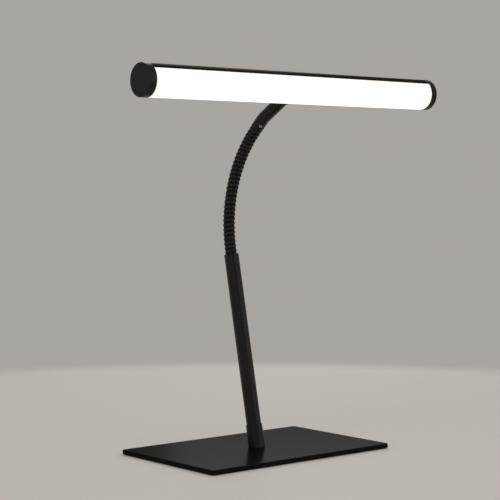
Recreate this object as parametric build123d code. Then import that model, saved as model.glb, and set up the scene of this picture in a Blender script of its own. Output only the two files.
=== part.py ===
"""Piano lamp: a flat steel base, a leaning stem, a flexible gooseneck and a long tubular lamp head.

Millimetres, +Z up. X runs along the head and -Y is the front, the side that the lamp lights.
The origin is the centre of the base's underside, on the table.
"""

import os
from math import asin, cos, degrees, radians, sin, sqrt

from build123d import *

# ---- Base ----
base_length = 185.0
base_width = 117.0
plate_thickness = 3.5
plate_corner_radius = 2.0
plate_edge_chamfer = 0.4
pad_thickness = 0.6
pad_inset = 1.0
pad_hole_radius = 9.0

# ---- Stem ----
stem_lean = 11.85  # degrees from vertical, towards the back
stem_radius = 6.0
stem_wall = 1.0
stem_length = 158.2
collar_length = 18.0
collar_wall = 0.65
plug_length = 7.5
screw_radius = 2.5
screw_head_radius = 4.8
screw_head_height = 2.6
screw_reach = 5.5  # length inside the plug
hex_socket_width = 3.0
hex_socket_depth = 1.4

# ---- Cord inlet in the back of the collar ----
inlet_height = 12.5  # along the stem, above the plate
grommet_radius = 2.3
grommet_bore = 1.35
grommet_flange = 0.7

# ---- Gooseneck ----
gooseneck_radius = 5.0
turn_pitch = 3.77  # one turn of the coil
turns_per_segment = 4
segment_count = 7
rest_bend_radius = 103.4
joint_gap = 1.0  # from the pivot to each segment's end face, so that the pivot can bend
lead_bore_radius = 1.7
root_depth = 12.0
stud_radius = 3.3
stud_length = 10.0

# ---- Neck between the gooseneck and the head ----
neck_radius = 5.0
neck_straight = 15.0  # from the last pivot to the bend's corner
neck_bend = 12.5  # degrees
neck_bend_radius = 28.0
neck_reach = 29.2  # from the bend's corner to the saddle
neck_end_wall = 4.0
nipple_radius = 3.0
saddle_radius = 6.0
saddle_thickness = 2.0
nut_radius = 3.8
nut_thickness = 1.8
nipple_spare = 0.4  # thread left past the nut
set_screw_distance = 10.3  # from the last pivot
set_screw_radius = 1.25
set_screw_angle = 60.0  # from the lamp's left side round to the front
set_screw_proud = 0.25

# ---- Head ----
head_length = 296.6
head_radius = 12.5
head_wall = 1.2
diffuser_wall = 1.4
diffuser_angle = 150.0  # degrees of the tube's round that are luminous
light_tilt = 30.5  # the light's middle, degrees below horizontal, to the front
cap_depth = 6.1
cap_overhang = 0.15
cap_plug_length = 6.0
cap_plug_gap = 1.6  # between the plug's flat and the driver board
clip_depth = 1.2
clip_thickness = 1.0
clip_angle = 5.0  # degrees of the housing's hook

# ---- Inside the head ----
web_thickness = 0.8
rail_height = 1.2
rail_width = 1.2
rail_half_gap = 7.0
led_board_width = 10.0
led_board_thickness = 1.0
led_board_end_gap = 4.0
led_count = 24
led_length = 3.5
led_width = 2.8
led_height = 0.7
driver_start = 12.0
driver_length = 64.0
driver_width = 16.4
driver_thickness = 1.0
driver_end_gap = 4.0
coil_radius = 3.5
coil_height = 4.0
capacitor_radius = 2.2
capacitor_length = 7.0
chip_width = 4.0
chip_length = 5.0
chip_height = 1.4
coil_share = 0.62  # places along the driver board, as shares of its length
chip_share = 0.78
capacitor_share = 0.48
capacitor_seat = 0.9  # share of the capacitor's radius above the board

# ---- Switch ----
switch_position = 30.0
switch_body_size = 6.0
switch_body_height = 3.5
plunger_width = 3.4
plunger_clearance = 0.1
plunger_depth = 0.9
button_radius = 3.5
button_clearance = 0.3
button_flange_radius = 4.4
button_flange_thickness = 0.7
button_flange_gap = 0.35
button_proud = 0.6
button_travel = 0.5

# ---- Wiring ----
lead_width = 2.4
lead_thickness = 1.2
lead_turn = 4.0  # radius of its turns at the inlet and inside the head
board_turn_share = 0.45  # last turn's radius, as a share of the run on the driver board
pin_width = 0.64
pin_spacing = 2.54

# ---- Fits ----
press_clearance = 0.05
slip_clearance = 0.1

# ---- Worked out from the sizes above ----
plate_top = pad_thickness + plate_thickness
stem_bore = stem_radius - stem_wall
collar_radius = stem_radius + collar_wall
segment_length = turn_pitch * turns_per_segment
segment_turn = degrees(2 * asin(segment_length / 2 / rest_bend_radius))
tube_length = head_length - 2 * cap_depth
inner_radius = head_radius - head_wall
housing_half_angle = (360 - diffuser_angle) / 2
board_top = web_thickness + rail_height + driver_thickness
switch_top = board_top + switch_body_height


def direction(lean):
    """Unit vector in the YZ plane, leaning forward from vertical by that many degrees."""
    return Vector(0, -sin(radians(lean)), cos(radians(lean)))


def along(point, lean):
    """Placement at a point of the arm, with +Z along the arm, X across and -Y on its front."""
    return Plane(origin=point, x_dir=(1, 0, 0), z_dir=direction(lean)).location


# ---- The arm's line, from the base to the head's axis ----
stem_foot = Vector(0, 0, plate_top)
stem_place = along(stem_foot, -stem_lean)
stem_end = stem_foot + direction(-stem_lean) * stem_length
first_pivot = stem_end + direction(-stem_lean) * turn_pitch
segment_leans = [-stem_lean + (i + 0.5) * segment_turn for i in range(segment_count)]
pivots = [first_pivot]
for segment_lean in segment_leans:
    pivots.append(pivots[-1] + direction(segment_lean) * segment_length)
neck_lean = -stem_lean + segment_count * segment_turn
head_lean = neck_lean + neck_bend
neck_place = along(pivots[-1], neck_lean)
neck_corner = pivots[-1] + direction(neck_lean) * neck_straight
saddle_face = neck_corner + direction(head_lean) * neck_reach
head_centre = saddle_face + direction(head_lean) * (saddle_thickness + head_radius)

# The head's own frame: Z along the tube, Y out of the housing's middle, X towards its lower edge.
housing_up = Vector(0, cos(radians(light_tilt)), sin(radians(light_tilt)))
head_place = Plane(origin=head_centre, x_dir=housing_up.cross(Vector(1, 0, 0)), z_dir=(1, 0, 0)).location


def rod(radius, length):
    """Round bar standing on the origin, along +Z."""
    return extrude(Circle(radius), length)


def pipe(outer, inner, length):
    """Round tube standing on the origin, along +Z."""
    return extrude(Circle(outer) - Circle(inner), length)


def ring_sector(inner, outer, start, end):
    """Face between two radii, from the start to the end angle in degrees."""
    outside = CenterArc((0, 0), outer, start, end - start)
    inside = CenterArc((0, 0), inner, start, end - start)
    return make_face([outside, inside, Line(outside @ 0, inside @ 0), Line(outside @ 1, inside @ 1)])


def mirrored(face):
    """The face with its mirror image across the head's middle plane."""
    return face + mirror(face, Plane.YZ)


# ---- Base ----
def base_outline(inset):
    return RectangleRounded(base_length - 2 * inset, base_width - 2 * inset, plate_corner_radius)


def base_plate():
    plate = Pos(0, 0, pad_thickness) * extrude(base_outline(0), plate_thickness)
    plate = chamfer(plate.faces().sort_by(Axis.Z)[-1].edges(), plate_edge_chamfer)
    return plate - screw_shape(press_clearance)


def base_pad():
    pad = extrude(base_outline(pad_inset), pad_thickness)
    return pad - rod(pad_hole_radius, pad_thickness)


def screw_shape(clearance):
    """Countersunk screw, head down, flush with the plate's underside."""
    head = Cone(screw_head_radius + clearance, screw_radius + clearance, screw_head_height,
                align=(Align.CENTER, Align.CENTER, Align.MIN))
    shank = rod(screw_radius + clearance, plate_thickness + screw_reach + clearance)
    return Pos(0, 0, pad_thickness) * (head + shank)


def base_screw():
    recess = extrude(RegularPolygon(hex_socket_width / sqrt(3), 6), hex_socket_depth)
    return screw_shape(0) - Pos(0, 0, pad_thickness) * recess


# ---- Stem ----
def above_plate(part):
    """Cuts a leaning part off flush with the plate's top."""
    size = 4 * stem_radius
    return part - Pos(0, 0, plate_top - size / 2) * Box(size, size, size)


def leaning(part, below=2 * stem_radius):
    """A part made along +Z with its foot this far below the plate, set to the stem's lean."""
    return above_plate(stem_place * Pos(0, 0, -below) * part)


def inlet_hole(radius):
    """Bar through the back wall of the stem and the collar, square to the stem."""
    return stem_place * Pos(0, 0, inlet_height) * Rot(-90, 0, 0) * rod(radius, 2 * collar_radius)


def stem_tube():
    below = 2 * stem_radius
    return leaning(pipe(stem_radius, stem_bore, stem_length + below)) - inlet_hole(grommet_radius)


def stem_collar():
    below = 2 * stem_radius
    collar = pipe(collar_radius, stem_radius + press_clearance, collar_length + below)
    return leaning(collar) - inlet_hole(grommet_radius)


def stem_plug():
    below = 2 * stem_radius
    plug = leaning(rod(stem_bore - press_clearance, plug_length + below))
    return plug - screw_shape(press_clearance)


def cord_grommet():
    """Rubber bush with an outer flange, curved to the collar."""
    outside = collar_radius + grommet_flange
    height = 4 * grommet_radius
    to_back = Pos(0, 0, inlet_height) * Rot(-90, 0, 0)
    foot = Pos(0, 0, inlet_height - height / 2)
    flange = (to_back * rod(grommet_radius + grommet_flange, 2 * outside)) & (
        foot * pipe(outside, collar_radius, height))
    bush = (to_back * rod(grommet_radius - press_clearance / 2, 2 * outside)) & (
        foot * pipe(outside, stem_bore, height))
    return stem_place * (flange + bush - to_back * rod(grommet_bore, 2 * outside))


# ---- Gooseneck ----
def gooseneck_segment():
    """Four turns of the coil as one tube along +Z, with a gap at each end for the pivots' bend."""
    return Pos(0, 0, joint_gap) * pipe(gooseneck_radius, lead_bore_radius, segment_length - 2 * joint_gap)


def gooseneck_root():
    """First turn, on a plug that is pressed into the stem's end; its foot is at the stem's end."""
    plug = Pos(0, 0, -root_depth) * pipe(stem_bore - press_clearance, lead_bore_radius, root_depth)
    return plug + pipe(gooseneck_radius, lead_bore_radius, turn_pitch - joint_gap)


def gooseneck_end():
    """Last turn, on the stud that the neck is clamped to."""
    stud = Pos(0, 0, turn_pitch) * pipe(stud_radius, lead_bore_radius, stud_length)
    return stud + Pos(0, 0, joint_gap) * pipe(gooseneck_radius, lead_bore_radius, turn_pitch - joint_gap)


# ---- Neck ----
def neck_line():
    """The neck's centreline, from the coil's last turn to the saddle."""
    first = pivots[-1] + direction(neck_lean) * turn_pitch
    return FilletPolyline(first, neck_corner, saddle_face, radius=neck_bend_radius)


def sweep_round(line, radius):
    """Round bar along a line."""
    return sweep(Plane(origin=line @ 0, z_dir=line % 0) * Circle(radius), path=line)


def mount_rod(radius, start, end):
    """Bar on the mount's axis, between two distances from the tube's axis, in lamp coordinates."""
    place = along(head_centre - direction(head_lean) * end, head_lean)
    return place * rod(radius, end - start)


def set_screw_place():
    """Placement on the gooseneck's axis with +Z along the set screw, outwards."""
    return neck_place * Pos(0, 0, set_screw_distance) * Rot(0, 0, set_screw_angle) * Rot(0, -90, 0)


def neck_tube():
    """Rigid bent neck, bored from both ends of its bend and out through its threaded nipple."""
    tube = sweep_round(neck_line(), neck_radius)
    bore_radius = stud_radius + press_clearance
    bore = neck_place * rod(bore_radius, neck_straight)
    bore += along(neck_corner, head_lean) * rod(bore_radius, neck_reach - neck_end_wall)
    bore += Pos(*neck_corner) * Sphere(bore_radius)
    nipple = mount_rod(nipple_radius, nipple_end(), head_radius + saddle_thickness)
    lead_hole = mount_rod(lead_bore_radius, nipple_end(), head_radius + saddle_thickness + 2 * neck_end_wall)
    screw_hole = set_screw_place() * rod(set_screw_radius + press_clearance, 2 * neck_radius)
    return tube - bore + nipple - lead_hole - screw_hole


def neck_set_screw():
    length = neck_radius + set_screw_proud - stud_radius
    screw = Pos(0, 0, stud_radius) * rod(set_screw_radius, length)
    recess = extrude(RegularPolygon(set_screw_radius / 2, 6), length)
    return set_screw_place() * (screw - Pos(0, 0, stud_radius + length / 2) * recess)


def nut_seat():
    """How far inside the housing's wall the nut's flat face comes to rest."""
    return inner_radius - sqrt(inner_radius**2 - nut_radius**2)


def nipple_end():
    """Distance of the nipple's open end from the head's axis."""
    return inner_radius - nut_seat() - slip_clearance - nut_thickness - nipple_spare


def neck_saddle():
    """Washer shaped to the round housing, under the neck's end."""
    blank = mount_rod(saddle_radius, head_radius - saddle_thickness, head_radius + saddle_thickness)
    tube = head_place * Pos(0, 0, -head_length / 2) * rod(head_radius, head_length)
    return blank - tube - mount_rod(nipple_radius + slip_clearance, 0, 2 * head_radius)


def neck_nut():
    """Ring nut inside the housing."""
    outer = inner_radius - nut_seat() - slip_clearance
    nut = mount_rod(nut_radius, outer - nut_thickness, outer)
    return nut - mount_rod(nipple_radius + press_clearance, 0, 2 * head_radius)


# ---- Head ----
def along_head(face, length=None):
    """Extrudes a section of the head over the tube's length, centred."""
    length = length or tube_length
    return Pos(0, 0, -length / 2) * extrude(face, length)


def housing_section():
    """Aluminium extrusion: a round shell, hooks for the diffuser, a web and two board rails."""
    edge = 90 - housing_half_angle
    shell = ring_sector(inner_radius, head_radius, edge, 180 - edge)
    hook = ring_sector(inner_radius - clip_depth, inner_radius + head_wall / 2, edge, edge + clip_angle)
    web = Pos(0, web_thickness / 2) * Rectangle(2 * inner_radius + head_wall, web_thickness)
    rail_x = rail_half_gap + rail_width / 2
    rail = Pos(rail_x, web_thickness + rail_height / 2) * Rectangle(rail_width, rail_height)
    return shell + mirrored(hook) + web + mirrored(rail)


def head_housing():
    housing = head_place * along_head(housing_section())
    housing -= mount_rod(nipple_radius + slip_clearance, inner_radius - head_wall, head_radius + head_wall)
    hole = Pos(0, web_thickness + rail_height, switch_position) * Rot(-90, 0, 0)
    housing -= head_place * hole * rod(button_radius + button_clearance, 2 * head_radius)
    slot_place = Pos(0, web_thickness / 2, pin_position())
    return housing - head_place * slot_place * Box(2 * pin_spacing, web_thickness, 3 * pin_width)


def diffuser():
    """Opal cover that clips behind the housing's hooks."""
    edge = housing_half_angle - 90
    gap = slip_clearance
    gap_angle = degrees(gap / head_radius)
    margin = edge + gap_angle
    cover = ring_sector(head_radius - diffuser_wall, head_radius, 180 + margin, 360 - margin)
    leg_outer = inner_radius - clip_depth - gap
    leg_inner = leg_outer - clip_thickness
    foot = -edge - gap_angle
    root = ring_sector(leg_inner, head_radius - diffuser_wall / 2, foot - clip_angle, foot)
    leg = ring_sector(leg_inner, leg_outer, foot - clip_angle, foot + 2 * clip_angle)
    bead_start = clip_angle - edge + 2 * gap_angle
    bead = ring_sector(leg_inner, leg_outer + clip_depth / 2, bead_start, foot + 2 * clip_angle + gap_angle)
    return head_place * along_head(cover + mirrored(root) + mirrored(leg) + mirrored(bead))


def end_cap(side):
    """Cap with a plug that is pressed into the housing; side is -1 or 1."""
    outer = head_radius + cap_overhang
    floor = board_top + cap_plug_gap
    keep = Pos(0, floor + head_radius / 2) * Rectangle(3 * head_radius, head_radius)
    plug = extrude(Circle(inner_radius - slip_clearance) & keep, cap_plug_length)
    cap = Pos(0, 0, tube_length / 2) * (rod(outer, cap_depth) + Pos(0, 0, -cap_plug_length) * plug)
    return head_place * (cap if side > 0 else mirror(cap, Plane.XY))


# ---- Inside the head ----
def led_board():
    board = Pos(0, -led_board_thickness / 2) * Rectangle(led_board_width, led_board_thickness)
    return head_place * along_head(board, tube_length - 2 * led_board_end_gap)


def leds():
    """All the light-emitting packages, evenly spaced along the board."""
    spacing = (tube_length - 2 * led_board_end_gap) / led_count
    height = -led_board_thickness - led_height / 2
    packages = []
    for i in range(led_count):
        z = (i - (led_count - 1) / 2) * spacing
        packages.append(head_place * Pos(0, height, z) * Box(led_width, led_height, led_length))
    return Compound(packages)


def driver_board():
    """Driver board on the rails, with its main components soldered on."""
    middle = driver_start + driver_length / 2
    base = web_thickness + rail_height
    board = Pos(0, base + driver_thickness / 2, middle) * Box(driver_width, driver_thickness, driver_length)
    coil_place = Pos(0, board_top, driver_start + driver_length * coil_share)
    coil = coil_place * Rot(-90, 0, 0) * rod(coil_radius, coil_height)
    chip_place = Pos(0, board_top + chip_height / 2, driver_start + driver_length * chip_share)
    chip = chip_place * Box(chip_width, chip_height, chip_length)
    capacitor_x = driver_width / 2 - capacitor_radius - rail_width
    capacitor_y = board_top + capacitor_seat * capacitor_radius
    capacitor_place = Pos(capacitor_x, capacitor_y, driver_start + driver_length * capacitor_share)
    capacitor = capacitor_place * Cylinder(capacitor_radius, capacitor_length)
    return head_place * (board + coil + chip + capacitor)


def pin_position():
    """Middle of the pin pair, along the head."""
    return driver_start + driver_length - driver_end_gap


def board_pins():
    """Two square pins from the driver board through the web to the LED board's back."""
    length = web_thickness + rail_height
    pin = Box(pin_width, length, pin_width)
    places = [head_place * Pos(side * pin_spacing, length / 2, pin_position()) for side in (-0.5, 0.5)]
    return Compound([place * pin for place in places])


# ---- Switch ----
def from_head_middle(part, height):
    """Puts a part made along +Z on the switch's axis, at that height above the head's middle."""
    return head_place * Pos(0, height, switch_position) * Rot(-90, 0, 0) * part


def button_flange_top():
    """Height of the button's flange under the curved wall, which keeps it in."""
    return sqrt(inner_radius**2 - button_flange_radius**2) - button_flange_gap


def switch_body():
    """Square push switch with a well for its plunger."""
    block = Pos(0, 0, switch_body_height / 2) * Box(switch_body_size, switch_body_size, switch_body_height)
    depth = plunger_depth + button_travel + plunger_clearance
    well_width = plunger_width + 2 * plunger_clearance
    well = Pos(0, 0, switch_body_height - depth / 2) * Box(well_width, well_width, depth)
    return from_head_middle(block - well, board_top)


def switch_plunger():
    """Plunger of the switch, up to the button's flange."""
    foot = switch_top - plunger_depth
    height = button_flange_top() - button_flange_thickness - foot
    return from_head_middle(Pos(0, 0, height / 2) * Box(plunger_width, plunger_width, height), foot)


def switch_button():
    """Round push button with an inner flange that keeps it in the housing."""
    flange = rod(button_flange_radius, button_flange_thickness)
    crown = rod(button_radius, head_radius + button_proud - button_flange_top() + button_flange_thickness)
    crown = chamfer(crown.faces().sort_by(Axis.Z)[-1].edges(), button_proud / 2)
    return from_head_middle(flange + crown, button_flange_top() - button_flange_thickness)


# ---- Supply lead, held inside the arm from the inlet to the driver board ----
def meeting(point, along_direction, other, other_direction):
    """Where two lines in the YZ plane cross."""
    across = Vector(0, -other_direction.Z, other_direction.Y)
    return point + along_direction * ((other - point).dot(across) / along_direction.dot(across))


def lead_route():
    """The flat lead's centreline: inlet, stem, gooseneck, neck, then sideways onto the driver board."""
    inlet = (stem_place * Pos(0, stem_radius, inlet_height)).position
    stem_corner = (stem_place * Pos(0, 0, inlet_height)).position
    bend_corner = meeting(first_pivot, direction(-stem_lean), pivots[-1], direction(neck_lean))
    half_diagonal = sqrt(lead_width**2 + lead_thickness**2) / 2
    above_web = web_thickness + half_diagonal + slip_clearance
    side_distance = above_web / sin(radians(head_lean - light_tilt))
    side_corner = head_centre - direction(head_lean) * side_distance
    across = (head_place.inverse() * Pos(*side_corner)).position.X
    rise = board_top + half_diagonal + press_clearance
    board_edge = (head_place * Pos(across, rise, driver_start - lead_width)).position
    board_end = (head_place * Pos(across, rise, driver_start + 2 * lead_turn)).position
    points = [inlet, stem_corner, bend_corner, neck_corner, side_corner, board_edge, board_end]
    board_radius = board_turn_share * (board_end - board_edge).length
    side_radius = nipple_end() - side_distance
    radii = [lead_turn, rest_bend_radius, neck_bend_radius, side_radius, board_radius]
    return FilletPolyline(*points, radius=radii)


def supply_lead():
    route = lead_route()
    section = Plane(origin=route @ 0, x_dir=(1, 0, 0), z_dir=route % 0) * Rectangle(lead_width, lead_thickness)
    return sweep(section, path=route)


def build_all():
    """Every part by its name."""
    parts = {
        "base_plate": base_plate(),
        "base_pad": base_pad(),
        "base_screw": base_screw(),
        "stem_tube": stem_tube(),
        "stem_collar": stem_collar(),
        "stem_plug": stem_plug(),
        "cord_grommet": cord_grommet(),
        "gooseneck_root": along(stem_end, -stem_lean) * gooseneck_root(),
        "gooseneck_end": neck_place * gooseneck_end(),
        "neck_tube": neck_tube(),
        "neck_set_screw": neck_set_screw(),
        "neck_saddle": neck_saddle(),
        "neck_nut": neck_nut(),
        "head_housing": head_housing(),
        "diffuser": diffuser(),
        "end_cap_left": end_cap(-1),
        "end_cap_right": end_cap(1),
        "led_board": led_board(),
        "leds": leds(),
        "driver_board": driver_board(),
        "board_pins": board_pins(),
        "switch_body": switch_body(),
        "switch_plunger": switch_plunger(),
        "switch_button": switch_button(),
        "supply_lead": supply_lead(),
    }
    segment = gooseneck_segment()
    for i, segment_lean in enumerate(segment_leans):
        parts[f"gooseneck_segment_{i + 1:02d}"] = along(pivots[i], segment_lean) * segment
    return parts


os.makedirs("parts", exist_ok=True)
for name, part in build_all().items():
    part.label = name
    export_step(part, f"parts/{name}.step")
lead = supply_lead()
print("lead radii", [edge.radius for edge in lead_route().edges() if edge.geom_type == GeomType.CIRCLE])
print("lead volume", lead.volume, "section times length", lead_width * lead_thickness * lead_route().length)
print("head centre", head_centre, "switch axis", housing_up)
print("pivots", [tuple(round(c, 4) for c in p) for p in pivots], "leans", segment_leans, neck_lean)
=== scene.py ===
"""Piano lamp: its coiled gooseneck, neck, fasteners and finishes, on a plain table with studio light.

Metres, +Z up. X runs along the head and -Y is the front, the side that the lamp lights.
"""

from math import asin, cos, pi, radians, sin, sqrt, tan

import bmesh
import bpy
from mathutils import Matrix, Vector


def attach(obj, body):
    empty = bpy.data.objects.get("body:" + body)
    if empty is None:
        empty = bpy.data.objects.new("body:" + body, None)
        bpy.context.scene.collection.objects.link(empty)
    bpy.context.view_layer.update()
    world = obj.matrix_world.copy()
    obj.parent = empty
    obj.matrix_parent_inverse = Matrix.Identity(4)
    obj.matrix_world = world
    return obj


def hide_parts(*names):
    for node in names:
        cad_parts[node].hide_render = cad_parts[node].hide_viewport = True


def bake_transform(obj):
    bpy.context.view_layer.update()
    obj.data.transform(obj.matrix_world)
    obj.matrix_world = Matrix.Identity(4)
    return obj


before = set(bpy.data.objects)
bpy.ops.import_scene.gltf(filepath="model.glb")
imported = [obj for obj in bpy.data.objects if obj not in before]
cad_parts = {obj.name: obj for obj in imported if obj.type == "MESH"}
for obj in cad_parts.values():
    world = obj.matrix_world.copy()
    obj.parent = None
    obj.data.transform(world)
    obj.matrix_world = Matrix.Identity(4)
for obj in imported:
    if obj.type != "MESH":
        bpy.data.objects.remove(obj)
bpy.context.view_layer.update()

mm = 0.001

# ---- Sizes that the pieces share with the solids ----
plate_top = 4.1 * mm
stem_lean = radians(11.85)
stem_bore = 5.0 * mm
stem_length = 158.2 * mm
turn_pitch = 3.77 * mm
segment_count = 7
rest_bend_radius = 103.4 * mm
gooseneck_radius = 5.0 * mm
lead_bore_radius = 1.7 * mm
root_depth = 12.0 * mm
stud_radius = 3.3 * mm
stud_length = 10.0 * mm
press_clearance = 0.05 * mm
neck_radius = 5.0 * mm
neck_straight = 15.0 * mm
neck_bend = radians(12.5)
neck_bend_radius = 28.0 * mm
neck_reach = 29.2 * mm
nipple_radius = 3.0 * mm
nipple_reach = 7.2 * mm
saddle_radius = 6.0 * mm
saddle_thickness = 2.0 * mm
saddle_clearance = 0.1 * mm
set_screw_distance = 10.3 * mm
set_screw_radius = 1.25 * mm
set_screw_angle = radians(60.0)
set_screw_proud = 0.25 * mm
head_radius = 12.5 * mm
light_tilt = radians(30.5)

# ---- The gooseneck's two wires ----
turns_per_segment = 4
steps_per_turn = 48
round_wire_radius = 1.35 * mm
wedge_outer_radius = 4.45 * mm
wedge_inner_radius = 3.0 * mm
wedge_outer_half = 0.68 * mm
wedge_inner_half = 0.22 * mm
wedge_corner_radius = 0.14 * mm
crest_radius = 4.9 * mm  # what lies deeper counts as groove
core_gap = 0.1 * mm  # between the wires and the cores of the plug and the stud
core_setback = 1.0 * mm  # from those cores' ends to the pivots

# ---- Fasteners ----
thread_pitch = 0.75 * mm
thread_depth = 0.35 * mm
hex_socket_radius = 0.7 * mm
hex_socket_depth = 0.8 * mm

# ---- Rounded edges ----
coil_end_rounding = 0.2 * mm
neck_rounding = 0.3 * mm
saddle_rounding = 0.3 * mm
set_screw_rounding = 0.12 * mm

# ---- Tolerances ----
merge_distance = 1e-6
cut_tolerance = 1e-7
flat_angle = radians(0.5)  # faces that turn by less are one face
sharp_angle = radians(30)  # edges that turn by more are rounded

# ---- Worked out from the sizes above ----
segment_turn = 2 * asin(turn_pitch * turns_per_segment / 2 / rest_bend_radius)
neck_lean = segment_count * segment_turn - stem_lean
head_lean = neck_lean + neck_bend
segment_arc = rest_bend_radius * segment_turn
arc_length = segment_count * segment_arc
wire_pitch = segment_arc / turns_per_segment
gooseneck_length = arc_length + 2 * turn_pitch
bend_tangent = neck_bend_radius * tan(neck_bend / 2)
core_radius = gooseneck_radius - 2 * round_wire_radius - core_gap
across = Vector((1, 0, 0))


def direction(lean):
    """Unit vector in the YZ plane, leaning forward from vertical by that angle."""
    return Vector((0, -sin(lean), cos(lean)))


def placed(point, lean):
    """Placement at a point of the arm, with +Z along the arm, X across and -Y on its front."""
    upward = direction(lean)
    turn = Matrix((across, upward.cross(across), upward)).transposed()
    return Matrix.Translation(point) @ turn.to_4x4()


stem_foot = Vector((0, 0, plate_top))
stem_end = stem_foot + direction(-stem_lean) * stem_length
first_pivot = stem_end + direction(-stem_lean) * turn_pitch


def arm_place(distance):
    """Placement on the gooseneck's centreline, at that length from the stem's end."""
    along_arc = min(max(distance - turn_pitch, 0), arc_length)
    lean = along_arc / rest_bend_radius - stem_lean
    to_front = Vector((0, -cos(lean), -sin(lean)))
    start_front = Vector((0, -cos(stem_lean), sin(stem_lean)))
    centre = first_pivot + start_front * rest_bend_radius
    past = distance - turn_pitch - along_arc
    return placed(centre - to_front * rest_bend_radius + direction(lean) * past, lean)


def pivot_distance(index):
    """Length from the stem's end to a pivot; the first is number 0."""
    return turn_pitch + index * segment_arc


last_pivot_place = arm_place(pivot_distance(segment_count))
neck_corner = last_pivot_place.translation + direction(neck_lean) * neck_straight
saddle_face = neck_corner + direction(head_lean) * neck_reach
head_centre = saddle_face + direction(head_lean) * (saddle_thickness + head_radius)
housing_up = Vector((0, cos(light_tilt), sin(light_tilt)))

# ---- Camera, light and table ----
camera_place = (-0.7888, -0.9311, 0.2176)
camera_turn = (radians(90 - 2.53), 0, radians(-40.01))
camera_lens = 108.95
camera_reach = 50  # metres that it sees

light_aim = Vector((0, 0, 0.15))
# Each light's name, place, width and height, power and colour
studio_lights = (
    ("key", (-1.5, -0.7, 1.5), (1.2, 1.2), 6.0, (1.0, 0.98, 0.95)),
    ("rim", (1.1, 1.2, 0.9), (0.5, 1.2), 4.0, (0.97, 0.98, 1.0)),
    ("fill", (0.9, -1.6, 0.6), (0.8, 1.4), 3.0, (1.0, 1.0, 1.0)),
)
room_light = (1.0, 0.985, 0.965)
room_level = 0.50
backdrop_colour = (0.40, 0.375, 0.355)

table_radius = 0.64
table_fade = 0.10
table_drop = 0.05 * mm
table_light_gap = 4 * mm  # the table is clear to rays shorter than this


def make_camera():
    """Camera to the lamp's left front, a little above level, with a long lens."""
    data = bpy.data.cameras.new("camera")
    data.sensor_width = 36
    data.lens = camera_lens
    data.clip_end = camera_reach
    camera = bpy.data.objects.new("camera", data)
    camera.location = camera_place
    camera.rotation_euler = camera_turn
    bpy.context.scene.collection.objects.link(camera)
    bpy.context.scene.camera = camera
    bpy.context.scene.view_settings.view_transform = "Standard"


def soft_light(name, place, size, power, colour):
    """Large rectangular light that faces the middle of the lamp."""
    data = bpy.data.lights.new(name, "AREA")
    data.shape = "RECTANGLE"
    data.size, data.size_y = size
    data.energy = power
    data.color = colour
    light = bpy.data.objects.new(name, data)
    light.location = place
    light.rotation_euler = (light_aim - Vector(place)).to_track_quat("-Z", "Y").to_euler()
    bpy.context.scene.collection.objects.link(light)


def make_table():
    """Pale round table that fades into the backdrop all round, just under the foam sheet."""
    bm = bmesh.new()
    level = Matrix.Translation((0, 0, -table_drop))
    bmesh.ops.create_circle(bm, cap_ends=True, radius=table_radius, segments=96, matrix=level)
    table = mesh_object("table", bm, table_paint())


def background(tree, colour, level):
    """Background shader of that colour and strength."""
    shader = tree.nodes.new("ShaderNodeBackground")
    shader.inputs["Color"].default_value = (*colour, 1)
    shader.inputs["Strength"].default_value = level
    return shader.outputs[0]


def light_room():
    """Even pale surroundings; what the camera and glossy surfaces see is a little darker than the light."""
    world = bpy.data.worlds.new("studio")
    bpy.context.scene.world = world
    world.use_nodes = True
    tree = world.node_tree
    tree.nodes.clear()
    path = tree.nodes.new("ShaderNodeLightPath")
    seen = arithmetic(tree, "MAXIMUM", path.outputs["Is Camera Ray"], path.outputs["Is Glossy Ray"])
    seen = arithmetic(tree, "MAXIMUM", seen, path.outputs["Is Transmission Ray"])
    mix = tree.nodes.new("ShaderNodeMixShader")
    output = tree.nodes.new("ShaderNodeOutputWorld")
    tree.links.new(seen, mix.inputs["Fac"])
    tree.links.new(background(tree, room_light, room_level), mix.inputs[1])
    tree.links.new(background(tree, backdrop_colour, 1.0), mix.inputs[2])
    tree.links.new(mix.outputs[0], output.inputs["Surface"])
    for light in studio_lights:
        soft_light(*light)


# ---- Steps that the surface effects and finishes share ----
def object_place(tree):
    """Place on the piece, in metres."""
    return tree.nodes.new("ShaderNodeTexCoord").outputs["Object"]


def arithmetic(tree, operation, first, second):
    """Math node on two sockets or numbers."""
    step = tree.nodes.new("ShaderNodeMath")
    step.operation = operation
    for socket, value in zip(step.inputs, (first, second)):
        if isinstance(value, (int, float)):
            socket.default_value = value
        else:
            tree.links.new(value, socket)
    return step.outputs[0]


def vector_step(tree, operation, first, second=None, output="Vector"):
    """Vector node on a socket and, where it takes one, a second socket or vector."""
    step = tree.nodes.new("ShaderNodeVectorMath")
    step.operation = operation
    tree.links.new(first, step.inputs[0])
    if isinstance(second, Vector):
        step.inputs[1].default_value = second
    elif second is not None:
        tree.links.new(second, step.inputs[1])
    return step.outputs[output]


def ramp(tree, value, start, end):
    """Smooth rise from 0 to 1 as the value goes from start to end."""
    rise = tree.nodes.new("ShaderNodeMapRange")
    rise.interpolation_type = "SMOOTHSTEP"
    rise.inputs["From Min"].default_value = start
    rise.inputs["From Max"].default_value = end
    tree.links.new(value, rise.inputs["Value"])
    return rise.outputs["Result"]


def noise_in(tree, vector, detail, scale=1.0):
    """Noise texture on a vector socket; it swings about one half."""
    noise = tree.nodes.new("ShaderNodeTexNoise")
    noise.inputs["Scale"].default_value = scale
    noise.inputs["Detail"].default_value = detail
    tree.links.new(vector, noise.inputs["Vector"])
    return noise.outputs["Fac"]


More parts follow.
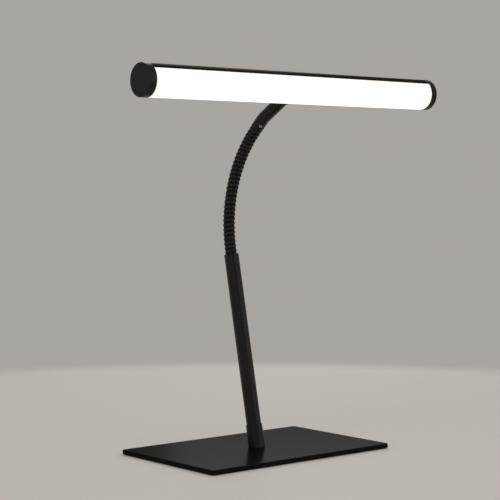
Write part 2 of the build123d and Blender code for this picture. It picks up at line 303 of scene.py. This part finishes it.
def spread_about(tree, signal, middle, spread):
    """Middle plus the signal's swing about one half, times the spread."""
    swing = arithmetic(tree, "SUBTRACT", signal, 0.5)
    return arithmetic(tree, "ADD", arithmetic(tree, "MULTIPLY", swing, spread), middle)


# ---- Surface effects that several finishes use ----
slow_grain_scale = 0.03
fine_grain_share = 0.3
slow_grain_share = 0.7
patch_scale = 60.0
speck_scale = 2600.0
speck_lift = 1.35
speck_sharpness = 8.0
upward_sharpness = 3.0


def start_group(name, inputs, outputs):
    """Shader node group with number or vector inputs and number outputs, and its two end nodes."""
    tree = bpy.data.node_groups.new(name, "ShaderNodeTree")
    for label, value in inputs:
        kind = "NodeSocketVector" if isinstance(value, tuple) else "NodeSocketFloat"
        socket = tree.interface.new_socket(name=label, in_out="INPUT", socket_type=kind)
        socket.default_value = value
    for label in outputs:
        tree.interface.new_socket(name=label, in_out="OUTPUT", socket_type="NodeSocketFloat")
    return tree, tree.nodes.new("NodeGroupInput"), tree.nodes.new("NodeGroupOutput")


def paint_grain_group():
    """Fine orange peel of a sprayed or moulded surface, with slow changes of sheen across it."""
    tree, given, result = start_group(
        "paint_grain",
        [("Grain", 1500.0), ("Roughness", 0.4), ("Variation", 0.1)],
        ["Height", "Roughness", "Tone"])
    grain = given.outputs["Grain"]
    fine = noise_in(tree, vector_step(tree, "MULTIPLY", object_place(tree), grain), detail=2.0)
    slow_grain = arithmetic(tree, "MULTIPLY", grain, slow_grain_scale)
    slow = noise_in(tree, vector_step(tree, "MULTIPLY", object_place(tree), slow_grain), detail=3.0)
    fine_part = arithmetic(tree, "MULTIPLY", fine, fine_grain_share)
    slow_part = arithmetic(tree, "MULTIPLY", slow, slow_grain_share)
    both = arithmetic(tree, "ADD", fine_part, slow_part)
    rough = spread_about(tree, both, given.outputs["Roughness"], given.outputs["Variation"])
    tree.links.new(fine, result.inputs["Height"])
    tree.links.new(rough, result.inputs["Roughness"])
    tree.links.new(slow, result.inputs["Tone"])
    return tree


def drawn_lines_group():
    """Long fine lines that a die or a polishing wheel leaves, stretched as the scale says."""
    tree, given, result = start_group(
        "drawn_lines",
        [("Stretch", (8.0, 3000.0, 3000.0)), ("Roughness", 0.3), ("Variation", 0.15)],
        ["Height", "Roughness", "Tone"])
    stretched = vector_step(tree, "MULTIPLY", object_place(tree), given.outputs["Stretch"])
    lines = noise_in(tree, stretched, detail=3.0)
    rough = spread_about(tree, lines, given.outputs["Roughness"], given.outputs["Variation"])
    tree.links.new(lines, result.inputs["Height"])
    tree.links.new(rough, result.inputs["Roughness"])
    tree.links.new(lines, result.inputs["Tone"])
    return tree


def settled_dust_group():
    """Mask of the thin dust that settles in patches, with a few specks, on surfaces that face up."""
    tree, given, result = start_group("settled_dust", [("Amount", 0.05)], ["Mask"])
    geometry = tree.nodes.new("ShaderNodeNewGeometry")
    parts = tree.nodes.new("ShaderNodeSeparateXYZ")
    tree.links.new(geometry.outputs["Normal"], parts.inputs[0])
    upward = arithmetic(tree, "MAXIMUM", parts.outputs["Z"], 0.0)
    facing = arithmetic(tree, "POWER", upward, upward_sharpness)
    place = object_place(tree)
    patches = noise_in(tree, place, detail=6.0, scale=patch_scale)
    specks = noise_in(tree, place, detail=2.0, scale=speck_scale)
    specks = arithmetic(tree, "POWER", arithmetic(tree, "MULTIPLY", specks, speck_lift), speck_sharpness)
    thick = arithmetic(tree, "MULTIPLY", arithmetic(tree, "ADD", patches, specks), given.outputs["Amount"])
    mask = arithmetic(tree, "MULTIPLY", thick, facing)
    mask.node.use_clamp = True
    tree.links.new(mask, result.inputs["Mask"])
    return tree


paint_grain = paint_grain_group()
drawn_lines = drawn_lines_group()
settled_dust = settled_dust_group()


# ---- Finishes ----
dust_colour = (0.30, 0.28, 0.26)
skin_coat_roughness = 0.22
metal_coat_roughness = 0.25
crest_sheen = 0.70
groove_dulling = 0.52  # what the groove takes from the crests' sheen

cover_glow = 0.85
cover_middle_glow = (1.0, 0.96, 0.92)
cover_rim_glow = (0.66, 0.56, 0.47)
end_dim_start = 136.0 * mm  # from the head's middle
end_dim_full = 142.5 * mm
edge_dim_start = 0.48  # shares of the head's radius, on the line that the light points along
edge_dim_full = 0.26
package_glow = 0.8


def start_finish(name):
    """New material, its node tree and its Principled shader."""
    material = bpy.data.materials.new(name)
    material.use_nodes = True
    return material, material.node_tree, material.node_tree.nodes["Principled BSDF"]


def use_group(tree, group, **values):
    """A shared effect, with its own values."""
    node = tree.nodes.new("ShaderNodeGroup")
    node.node_tree = group
    for label, value in values.items():
        node.inputs[label].default_value = value
    return node


def mixed_colour(tree, mask, first, second):
    """Colour that goes from the first to the second as the mask rises; each is a colour or a socket."""
    mix = tree.nodes.new("ShaderNodeMix")
    mix.data_type = "RGBA"
    tree.links.new(mask, mix.inputs["Factor"])
    for socket, colour in ((mix.inputs[6], first), (mix.inputs[7], second)):
        if isinstance(colour, tuple):
            socket.default_value = (*colour, 1)
        else:
            tree.links.new(colour, socket)
    return mix.outputs[2]


def add_relief(tree, shader, height, distance):
    """Bump of that depth in metres."""
    bump = tree.nodes.new("ShaderNodeBump")
    bump.inputs["Strength"].default_value = 1.0
    bump.inputs["Distance"].default_value = distance
    tree.links.new(height, bump.inputs["Height"])
    tree.links.new(bump.outputs["Normal"], shader.inputs["Normal"])


def grained_skin(name, dark, light, grain, relief, roughness, variation, gloss, sheen=0.0, dust=0.0):
    """Sprayed or moulded surface; gloss is its own reflection and sheen that of a thin clear top coat."""
    material, tree, shader = start_finish(name)
    skin = use_group(tree, paint_grain, Grain=grain, Roughness=roughness, Variation=variation)
    powder = use_group(tree, settled_dust, Amount=dust)
    tone = mixed_colour(tree, skin.outputs["Tone"], dark, light)
    colour = mixed_colour(tree, powder.outputs["Mask"], tone, dust_colour)
    tree.links.new(colour, shader.inputs["Base Color"])
    rough = arithmetic(tree, "ADD", skin.outputs["Roughness"], powder.outputs["Mask"])
    tree.links.new(rough, shader.inputs["Roughness"])
    shader.inputs["Specular IOR Level"].default_value = gloss
    shader.inputs["Coat Weight"].default_value = sheen
    shader.inputs["Coat Roughness"].default_value = skin_coat_roughness
    add_relief(tree, shader, skin.outputs["Height"], relief)
    return material


def drawn_metal(
        name, dark, light, stretch, relief, roughness, variation, metallic=1.0, gloss=0.5, sheen=0.0):
    """Metal with the lines of its making, bare or under a dark coat with a thin clear sheen."""
    material, tree, shader = start_finish(name)
    lines = use_group(tree, drawn_lines, Stretch=stretch, Roughness=roughness, Variation=variation)
    tree.links.new(mixed_colour(tree, lines.outputs["Tone"], dark, light), shader.inputs["Base Color"])
    tree.links.new(lines.outputs["Roughness"], shader.inputs["Roughness"])
    shader.inputs["Metallic"].default_value = metallic
    shader.inputs["Specular IOR Level"].default_value = gloss
    shader.inputs["Coat Weight"].default_value = sheen
    shader.inputs["Coat Roughness"].default_value = metal_coat_roughness
    add_relief(tree, shader, lines.outputs["Height"], relief)
    return material


def coil_coat():
    """Black coat on the gooseneck's wires, polished on their crests and duller in the groove between."""
    material = drawn_metal(
        "coil_black", dark=(0.005, 0.005, 0.005), light=(0.014, 0.0137, 0.0133),
        stretch=(700.0, 700.0, 3000.0), relief=2.5e-5, roughness=0.24, variation=0.16, metallic=0.0,
        gloss=0.0)
    tree = material.node_tree
    groove = tree.nodes.new("ShaderNodeAttribute")
    groove.attribute_name = "groove"
    sheen_lost = arithmetic(tree, "MULTIPLY", groove.outputs["Fac"], groove_dulling)
    sheen = arithmetic(tree, "SUBTRACT", crest_sheen, sheen_lost)
    tree.links.new(sheen, tree.nodes["Principled BSDF"].inputs["Coat Weight"])
    return material


def opal_cover():
    """Frosted cover, lit from inside, a little warmer and dimmer near its ends and its long edges."""
    material, tree, shader = start_finish("opal_cover")
    skin = use_group(tree, paint_grain, Grain=900.0, Roughness=0.35, Variation=0.08)
    place = object_place(tree)
    parts = tree.nodes.new("ShaderNodeSeparateXYZ")
    tree.links.new(place, parts.inputs[0])
    from_middle = arithmetic(tree, "ABSOLUTE", parts.outputs["X"], 0.0)
    near_end = ramp(tree, from_middle, end_dim_start, end_dim_full)
    from_axis = vector_step(tree, "SUBTRACT", place, head_centre)
    towards_light = vector_step(tree, "DOT_PRODUCT", from_axis, -housing_up / head_radius, "Value")
    near_edge = ramp(tree, towards_light, edge_dim_start, edge_dim_full)
    dimmer = arithmetic(tree, "MAXIMUM", near_end, near_edge)
    glow = mixed_colour(tree, dimmer, cover_middle_glow, cover_rim_glow)
    tree.links.new(glow, shader.inputs["Emission Color"])
    shader.inputs["Emission Strength"].default_value = cover_glow
    body = mixed_colour(tree, skin.outputs["Tone"], (0.80, 0.79, 0.77), (0.86, 0.85, 0.83))
    tree.links.new(body, shader.inputs["Base Color"])
    tree.links.new(skin.outputs["Roughness"], shader.inputs["Roughness"])
    add_relief(tree, shader, skin.outputs["Height"], distance=4e-6)
    return material


def foam_sheet():
    """Closed-cell foam with open pores on its cut faces."""
    material, tree, shader = start_finish("foam_sheet")
    pores = tree.nodes.new("ShaderNodeTexVoronoi")
    pores.inputs["Scale"].default_value = 1800.0
    tree.links.new(object_place(tree), pores.inputs["Vector"])
    depth = pores.outputs["Distance"]
    colour = mixed_colour(tree, depth, (0.008, 0.008, 0.008), (0.035, 0.034, 0.033))
    tree.links.new(colour, shader.inputs["Base Color"])
    tree.links.new(spread_about(tree, depth, middle=0.85, spread=0.2), shader.inputs["Roughness"])
    shader.inputs["Specular IOR Level"].default_value = 0.2
    add_relief(tree, shader, depth, distance=8e-5)
    return material


def circuit_board(name, mask_colour, track_colour, scale):
    """Solder mask with the faint tracks that run under it."""
    material, tree, shader = start_finish(name)
    place = object_place(tree)
    tracks = tree.nodes.new("ShaderNodeTexBrick")
    tracks.inputs["Scale"].default_value = scale
    tracks.inputs["Mortar Size"].default_value = 0.06
    tree.links.new(place, tracks.inputs["Vector"])
    colour = mixed_colour(tree, tracks.outputs["Fac"], mask_colour, track_colour)
    tree.links.new(colour, shader.inputs["Base Color"])
    weave = noise_in(tree, place, detail=2.0, scale=2500.0)
    tree.links.new(spread_about(tree, weave, middle=0.35, spread=0.15), shader.inputs["Roughness"])
    add_relief(tree, shader, tracks.outputs["Fac"], distance=2e-5)
    return material


def light_package():
    """Yellow phosphor, lit."""
    material, tree, shader = start_finish("light_package")
    skin = use_group(tree, paint_grain, Grain=2500.0, Roughness=0.4, Variation=0.2)
    colour = mixed_colour(tree, skin.outputs["Tone"], (0.85, 0.66, 0.16), (0.90, 0.74, 0.28))
    tree.links.new(colour, shader.inputs["Base Color"])
    tree.links.new(skin.outputs["Roughness"], shader.inputs["Roughness"])
    tree.links.new(colour, shader.inputs["Emission Color"])
    shader.inputs["Emission Strength"].default_value = package_glow
    return material


def table_paint():
    """Pale matt table top.

    It is clear from below and to light from just above it, so the lamp's underside shows.
    """
    material, tree, shader = start_finish("table_paint")
    from_centre = vector_step(tree, "LENGTH", object_place(tree), output="Value")
    fade = ramp(tree, from_centre, table_radius - table_fade, table_radius)
    geometry = tree.nodes.new("ShaderNodeNewGeometry")
    path = tree.nodes.new("ShaderNodeLightPath")
    from_just_above = arithmetic(tree, "LESS_THAN", path.outputs["Ray Length"], table_light_gap)
    clear = arithmetic(tree, "MAXIMUM", fade, geometry.outputs["Backfacing"])
    clear = arithmetic(tree, "MAXIMUM", clear, from_just_above)
    tree.links.new(arithmetic(tree, "SUBTRACT", 1.0, clear), shader.inputs["Alpha"])
    skin = use_group(tree, paint_grain, Grain=120.0, Roughness=0.75, Variation=0.1)
    colour = mixed_colour(tree, skin.outputs["Tone"], (0.74, 0.69, 0.65), (0.78, 0.73, 0.69))
    tree.links.new(colour, shader.inputs["Base Color"])
    tree.links.new(skin.outputs["Roughness"], shader.inputs["Roughness"])
    shader.inputs["Specular IOR Level"].default_value = 0.2
    return material


powder_black = grained_skin(
    "powder_black", dark=(0.0045, 0.0045, 0.0048), light=(0.0095, 0.0093, 0.0090),
    grain=2200.0, relief=2.5e-5, roughness=0.34, variation=0.16, gloss=0.25, dust=0.010)
plate_black = grained_skin(
    "plate_black", dark=(0.0035, 0.0035, 0.0038), light=(0.0075, 0.0073, 0.0070),
    grain=2200.0, relief=1.5e-5, roughness=0.45, variation=0.14, gloss=0.0, sheen=0.09, dust=0.008)
moulded_black = grained_skin(
    "moulded_black", dark=(0.0045, 0.0045, 0.0045), light=(0.0090, 0.0090, 0.0087),
    grain=2600.0, relief=2e-5, roughness=0.34, variation=0.12, gloss=0.22, dust=0.006)
rubber_black = grained_skin(
    "rubber_black", dark=(0.010, 0.010, 0.010), light=(0.016, 0.0155, 0.015),
    grain=2000.0, relief=2e-5, roughness=0.75, variation=0.15, gloss=0.25, dust=0.006)
anodised_black = drawn_metal(
    "anodised_black", dark=(0.0050, 0.0050, 0.0053), light=(0.012, 0.0117, 0.0113),
    stretch=(6.0, 2200.0, 2200.0), relief=1.5e-5, roughness=0.38, variation=0.20, metallic=0.0, gloss=0.0,
    sheen=0.12)
coil_black = coil_coat()
bright_steel = drawn_metal(
    "bright_steel", dark=(0.52, 0.51, 0.49), light=(0.68, 0.67, 0.65),
    stretch=(1500.0, 1500.0, 4000.0), relief=3e-6, roughness=0.26, variation=0.16)
plated_steel = drawn_metal(
    "plated_steel", dark=(0.42, 0.42, 0.43), light=(0.58, 0.58, 0.59),
    stretch=(2500.0, 2500.0, 400.0), relief=4e-6, roughness=0.36, variation=0.16)
pin_metal = drawn_metal(
    "pin_metal", dark=(0.70, 0.50, 0.20), light=(0.80, 0.60, 0.28),
    stretch=(3000.0, 3000.0, 3000.0), relief=2e-6, roughness=0.28, variation=0.12)
switch_grey = grained_skin(
    "switch_grey", dark=(0.16, 0.16, 0.165), light=(0.20, 0.20, 0.20),
    grain=2400.0, relief=6e-6, roughness=0.45, variation=0.10, gloss=0.4)

finishes = {
    "black_steel": powder_black,
    "black_gooseneck": coil_black,
    "black_aluminium": anodised_black,
    "black_plastic": moulded_black,
    "opal_diffuser": opal_cover(),
    "black_rubber": rubber_black,
    "foam_pad": foam_sheet(),
    "bright_steel": bright_steel,
    "plug_steel": plated_steel,
    "white_board": circuit_board("white_board_mask", (0.78, 0.78, 0.76), (0.70, 0.70, 0.68), scale=160.0),
    "led_package": light_package(),
    "green_board": circuit_board("green_board_mask", (0.015, 0.10, 0.04), (0.03, 0.16, 0.07), scale=140.0),
    "pin_brass": pin_metal,
    "switch_plastic": switch_grey,
}


# ---- Making pieces ----
def mesh_object(name, bm, material):
    """Closes a bmesh into an object at the origin, smooth shaded and without the normals it was read with."""
    for face in bm.faces:
        face.smooth = True
    mesh = bpy.data.meshes.new(name)
    bm.to_mesh(mesh)
    bm.free()
    if "custom_normal" in mesh.attributes:
        mesh.attributes.remove(mesh.attributes["custom_normal"])
    mesh.materials.append(material)
    made = bpy.data.objects.new(name, mesh)
    bpy.context.scene.collection.objects.link(made)
    return made


def rounded(piece, width):
    """Rounds a piece's sharp edges and keeps its flat faces flat in the light."""
    bevel = piece.modifiers.new("rounding", "BEVEL")
    bevel.width = width
    bevel.segments = 3
    bevel.limit_method = "ANGLE"
    bevel.angle_limit = sharp_angle
    bevel.harden_normals = True
    return piece


def riding(piece, body, slot, *nodes):
    """Puts a piece on its body and hides the nodes that it stands for; the slot is not used."""
    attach(piece, body)
    if nodes:
        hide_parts(*nodes)


def blended(piece):
    """Bakes a piece's placement into its mesh; it is put on no body."""
    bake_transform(piece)


def edges_at(verts):
    """Every edge at some vertices, once each."""
    return list(dict.fromkeys(edge for vert in verts for edge in vert.link_edges))


def verts_on(edges):
    """Every vertex on some edges, once each."""
    return list(dict.fromkeys(vert for edge in edges for vert in edge.verts))


def edges_among(items):
    """The edges in what a bmesh operator returns."""
    return [item for item in items if isinstance(item, bmesh.types.BMEdge)]


def circle(bm, radius, segments, place):
    """Vertices of an open circle about +Z, at a placement."""
    made = bmesh.ops.create_circle(bm, cap_ends=False, radius=radius, segments=segments, matrix=place)
    return made["verts"]


def joined(bm):
    """Merges doubles, then turns every face outwards."""
    bmesh.ops.remove_doubles(bm, verts=bm.verts, dist=merge_distance)
    bmesh.ops.recalc_face_normals(bm, faces=bm.faces)


def cut_off(bm, point, normal, keep_above):
    """Cuts a closed shape with a plane, keeps the part above or below it and closes the cut."""
    everything = bm.verts[:] + bm.edges[:] + bm.faces[:]
    bmesh.ops.bisect_plane(
        bm, geom=everything, dist=cut_tolerance, plane_co=point, plane_no=normal,
        clear_inner=keep_above, clear_outer=not keep_above)
    bmesh.ops.holes_fill(bm, edges=[edge for edge in bm.edges if edge.is_boundary], sides=0)


def extruded(bm, edges, vector):
    """Extrudes a ring of edges by a vector and returns the new ring."""
    made = bmesh.ops.extrude_edge_only(bm, edges=edges)["geom"]
    verts = [item for item in made if isinstance(item, bmesh.types.BMVert)]
    bmesh.ops.translate(bm, verts=verts, vec=vector)
    return [edge for edge in edges_among(made) if all(vert in verts for vert in edge.verts)]


def shrunk(bm, edges, centre, factor):
    """Extrudes a ring inwards, about a centre, and returns the new ring."""
    ring = extruded(bm, edges, (0, 0, 0))
    bmesh.ops.scale(bm, verts=verts_on(ring), vec=(factor,) * 3, space=Matrix.Translation(-Vector(centre)))
    return ring


def turned(profile, steps=64, place=Matrix.Identity(4)):
    """Closed shape turned about +Z from a profile of (radius, height) corners, then placed."""
    bm = bmesh.new()
    corners = [bm.verts.new((radius, 0, height)) for radius, height in profile]
    edges = [bm.edges.new(pair) for pair in zip(corners, corners[1:])]
    bmesh.ops.spin(
        bm, geom=corners + edges, cent=(0, 0, 0), axis=(0, 0, 1), angle=2 * pi, steps=steps, use_merge=True)
    joined(bm)
    bmesh.ops.transform(bm, matrix=place, verts=bm.verts)
    return bm


def softened(node, width, body, slot, finish):
    """A node's own shape with its edges rounded."""
    bm = bmesh.new()
    bm.from_mesh(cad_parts[node].data)
    bmesh.ops.remove_doubles(bm, verts=bm.verts, dist=merge_distance)
    bmesh.ops.dissolve_limit(bm, angle_limit=flat_angle, verts=bm.verts, edges=bm.edges)
    for edge in bm.edges:
        edge.smooth = True
    riding(rounded(mesh_object(node + "_finished", bm, finish), width), body, slot, node)


# ---- Gooseneck: a round wire and a wedge wire wound together ----
def wind(bm, section, start, turns):
    """Winds a closed section, drawn in the XZ plane, round +Z from that height, and closes its two ends."""
    bmesh.ops.translate(bm, verts=section, vec=(0, 0, start))
    first = edges_at(section)
    wound = bmesh.ops.spin(
        bm, geom=section + first, cent=(0, 0, 0), axis=(0, 0, 1), angle=2 * pi * turns,
        steps=turns * steps_per_turn, dvec=(0, 0, wire_pitch / steps_per_turn))
    for ring in (first, edges_among(wound["geom_last"])):
        bmesh.ops.edgeloop_fill(bm, edges=ring)
        for edge in ring:
            edge.smooth = False


def round_section(bm):
    """Section of the round wire."""
    middle = Matrix.Translation((gooseneck_radius - round_wire_radius, 0, 0))
    return circle(bm, round_wire_radius, 16, middle @ Matrix.Rotation(pi / 2, 4, "X"))


def wedge_section(bm):
    """Section of the wedge wire with its rounded corners, half a pitch above the round one."""
    middle = wire_pitch / 2
    corners = [
        bm.verts.new((wedge_outer_radius, 0, middle - wedge_outer_half)),
        bm.verts.new((wedge_outer_radius, 0, middle + wedge_outer_half)),
        bm.verts.new((wedge_inner_radius, 0, middle + wedge_inner_half)),
        bm.verts.new((wedge_inner_radius, 0, middle - wedge_inner_half)),
    ]
    sides = [bm.edges.new(pair) for pair in zip(corners, corners[1:] + corners[:1])]
    made = bmesh.ops.bevel(
        bm, geom=corners + sides, affect="VERTICES", offset=wedge_corner_radius, segments=3,
        profile=0.5, material=-1)
    return made["verts"]


def mark_groove(bm):
    """Groove attribute: 0 on the crests of what was wound along +Z, rising to 1 on the wedge wire's face."""
    depth = bm.verts.layers.float.new("groove")
    for vert in bm.verts:
        below_crest = crest_radius - vert.co.xy.length
        vert[depth] = min(max(below_crest / (crest_radius - wedge_outer_radius), 0.0), 1.0)


def bend_onto_arm(bm):
    """Bends what was made along +Z onto the arm; its height is the length from the stem's end."""
    for vert in bm.verts:
        x, y, distance = vert.co
        vert.co = arm_place(distance) @ Vector((x, y, 0))


def coil_piece(index):
    """The coil's stretch about one pivot, from the middle of one segment to the middle of the next.

    There is one more pivot than there are segments, so the last two stretches stand for the same segment.
    """
    start = pivot_distance(index) - segment_arc / 2
    bm = bmesh.new()
    for section in (round_section, wedge_section):
        wind(bm, section(bm), start, turns_per_segment)
    if index == segment_count:
        cut_off(bm, (0, 0, gooseneck_length), (0, 0, 1), keep_above=False)
    bmesh.ops.recalc_face_normals(bm, faces=bm.faces)
    mark_groove(bm)
    bend_onto_arm(bm)
    piece = mesh_object(f"coil_{index + 1:02d}", bm, coil_black)
    blended(piece)
    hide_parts(f"gooseneck_segment_{min(index + 1, segment_count):02d}")


def coil_end(name, profile, place, body, node):
    """Turned end of the coil, which the wires are fixed on."""
    piece = mesh_object(name, turned(profile, place=place), coil_black)
    riding(rounded(piece, coil_end_rounding), body, "black_gooseneck", node)


def coil_ends():
    """Plug in the stem and stud in the neck, each with a core inside the wires."""
    plug_radius = stem_bore - press_clearance
    plug_top = pivot_distance(0) - segment_arc / 2 - round_wire_radius
    core_top = turn_pitch - core_setback
    stud_top = turn_pitch + stud_length
    plug = [
        (lead_bore_radius, -root_depth), (plug_radius, -root_depth), (plug_radius, plug_top),
        (core_radius, plug_top), (core_radius, core_top), (lead_bore_radius, core_top),
        (lead_bore_radius, -root_depth),
    ]
    stud = [
        (lead_bore_radius, core_setback), (core_radius, core_setback), (core_radius, turn_pitch),
        (stud_radius, turn_pitch), (stud_radius, stud_top), (lead_bore_radius, stud_top),
        (lead_bore_radius, core_setback),
    ]
    coil_end("coil_plug", plug, placed(stem_end, -stem_lean), "base", "gooseneck_root")
    coil_end("coil_stud", stud, last_pivot_place, "head", "gooseneck_end")


# ---- Neck, saddle and set screw ----
def make_neck():
    """Bent tube from the gooseneck to the saddle, hollow at its lower end for the stud."""
    bm = bmesh.new()
    first = edges_at(circle(bm, neck_radius, 72, Matrix.Translation((0, 0, turn_pitch))))
    bend_start = neck_straight - bend_tangent
    ring = extruded(bm, first, (0, 0, bend_start - turn_pitch))
    bent = bmesh.ops.spin(
        bm, geom=verts_on(ring) + ring, cent=(0, -neck_bend_radius, bend_start), axis=(1, 0, 0),
        angle=neck_bend, steps=12)
    ring = extruded(bm, edges_among(bent["geom_last"]), direction(neck_bend) * (neck_reach - bend_tangent))
    bmesh.ops.edgeloop_fill(bm, edges=ring)
    mouth = shrunk(bm, first, (0, 0, turn_pitch), (stud_radius + press_clearance) / neck_radius)
    bore = extruded(bm, mouth, (0, 0, stud_length))
    bmesh.ops.edgeloop_fill(bm, edges=bore)
    joined(bm)
    bmesh.ops.transform(bm, matrix=last_pivot_place, verts=bm.verts)
    riding(rounded(mesh_object("neck", bm, powder_black), neck_rounding), "head", "black_steel", "neck_tube")


def make_nipple():
    """The neck's threaded end, which the nut holds inside the housing."""
    root_radius = nipple_radius - thread_depth
    profile = [(0, 0), (nipple_radius, 0)]
    height = saddle_thickness
    while height < nipple_reach - thread_pitch:
        profile += [(nipple_radius, height), (root_radius, height + thread_pitch / 2)]
        height += thread_pitch
    profile += [(nipple_radius, height), (root_radius, nipple_reach), (0, nipple_reach)]
    bm = turned(profile, steps=40, place=placed(saddle_face, head_lean))
    riding(mesh_object("neck_nipple", bm, powder_black), "head", "black_steel")


def make_saddle():
    """Washer whose far face is hollowed to sit on the round housing."""
    inner = nipple_radius + saddle_clearance
    bm = turned([
        (inner, 0), (saddle_radius, 0), (saddle_radius, saddle_thickness), (inner, saddle_thickness),
        (inner, 0),
    ], steps=72)
    for vert in bm.verts:
        if vert.co.z > saddle_thickness / 2:
            vert.co.z = saddle_thickness + head_radius - sqrt(head_radius**2 - vert.co.y**2)
    bmesh.ops.transform(bm, matrix=placed(saddle_face, head_lean), verts=bm.verts)
    piece = mesh_object("saddle", bm, moulded_black)
    riding(rounded(piece, saddle_rounding), "head", "black_plastic", "neck_saddle")


def hex_disc(bm, radius, height):
    """Round end face with a hexagon socket in it, and returns its outer ring."""
    level = Matrix.Translation((0, 0, height))
    outer = edges_at(circle(bm, radius, 48, level))
    hexagon = edges_at(circle(bm, hex_socket_radius, 6, level))
    bmesh.ops.bridge_loops(bm, edges=outer + hexagon)
    floor = extruded(bm, hexagon, (0, 0, -hex_socket_depth))
    bmesh.ops.edgeloop_fill(bm, edges=floor)
    return outer


def make_set_screw():
    """Grub screw that holds the neck on the stud, with its hexagon socket."""
    bm = bmesh.new()
    top = neck_radius + set_screw_proud
    ring = hex_disc(bm, set_screw_radius, top)
    ring = extruded(bm, ring, (0, 0, stud_radius - top))
    bmesh.ops.edgeloop_fill(bm, edges=ring)
    joined(bm)
    outwards = Vector((-cos(set_screw_angle), -sin(set_screw_angle), 0))
    place = last_pivot_place @ Matrix.Translation((0, 0, set_screw_distance))
    place @= outwards.to_track_quat("Z", "Y").to_matrix().to_4x4()
    bmesh.ops.transform(bm, matrix=place, verts=bm.verts)
    piece = mesh_object("set_screw", bm, bright_steel)
    riding(rounded(piece, set_screw_rounding), "head", "bright_steel", "neck_set_screw")


# ---- Supply lead, cut into a stretch for each body or pivot ----
def lead_piece(name, start=None, end=None):
    """The lead's stretch between two lengths from the stem's end; with no length it keeps its own end."""
    bm = bmesh.new()
    bm.from_mesh(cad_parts["supply_lead"].data)
    joined(bm)
    for distance, keep_above in ((start, True), (end, False)):
        if distance is not None:
            place = arm_place(distance)
            cut_off(bm, place.translation, place.col[2].to_3d(), keep_above)
    piece = mesh_object(name, bm, rubber_black)
    return piece


def make_lead():
    """The lead's stretches in the stem and in the head, and one about each pivot."""
    foot = pivot_distance(0) - segment_arc / 2
    piece = lead_piece("lead_in_stem", end=foot)
    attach(piece, "base")
    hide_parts("supply_lead")
    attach(lead_piece("lead_in_head", start=gooseneck_length), "head")
    for index in range(segment_count + 1):
        start = pivot_distance(index) - segment_arc / 2
        end = min(start + segment_arc, gooseneck_length)
        blended(lead_piece(f"lead_in_coil_{index + 1:02d}", start, end))


# ---- The lamp ----
# Each node that keeps its own shape: its rounding, body, slot and finish
softened_nodes = (
    ("base_plate", 0.2 * mm, "base", "black_steel", plate_black),
    ("stem_tube", 0.15 * mm, "base", "black_steel", powder_black),
    ("stem_collar", 0.25 * mm, "base", "black_steel", powder_black),
    ("end_cap_left", 0.4 * mm, "head", "black_plastic", moulded_black),
    ("end_cap_right", 0.4 * mm, "head", "black_plastic", moulded_black),
    ("switch_button", 0.15 * mm, "button", "black_plastic", moulded_black),
    ("cord_grommet", 0.15 * mm, "base", "black_rubber", rubber_black),
    ("base_screw", 0.1 * mm, "base", "bright_steel", bright_steel),
    ("neck_nut", 0.15 * mm, "head", "bright_steel", bright_steel),
)


def finish_nodes():
    """Gives every solid its finish."""
    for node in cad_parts.values():
        for holder in node.material_slots:
            holder.material = finishes[holder.material.name]


make_camera()
make_table()
light_room()
finish_nodes()
for pivot_index in range(segment_count + 1):
    coil_piece(pivot_index)
coil_ends()
make_neck()
make_nipple()
make_saddle()
make_set_screw()
make_lead()
for softened_node in softened_nodes:
    softened(*softened_node)
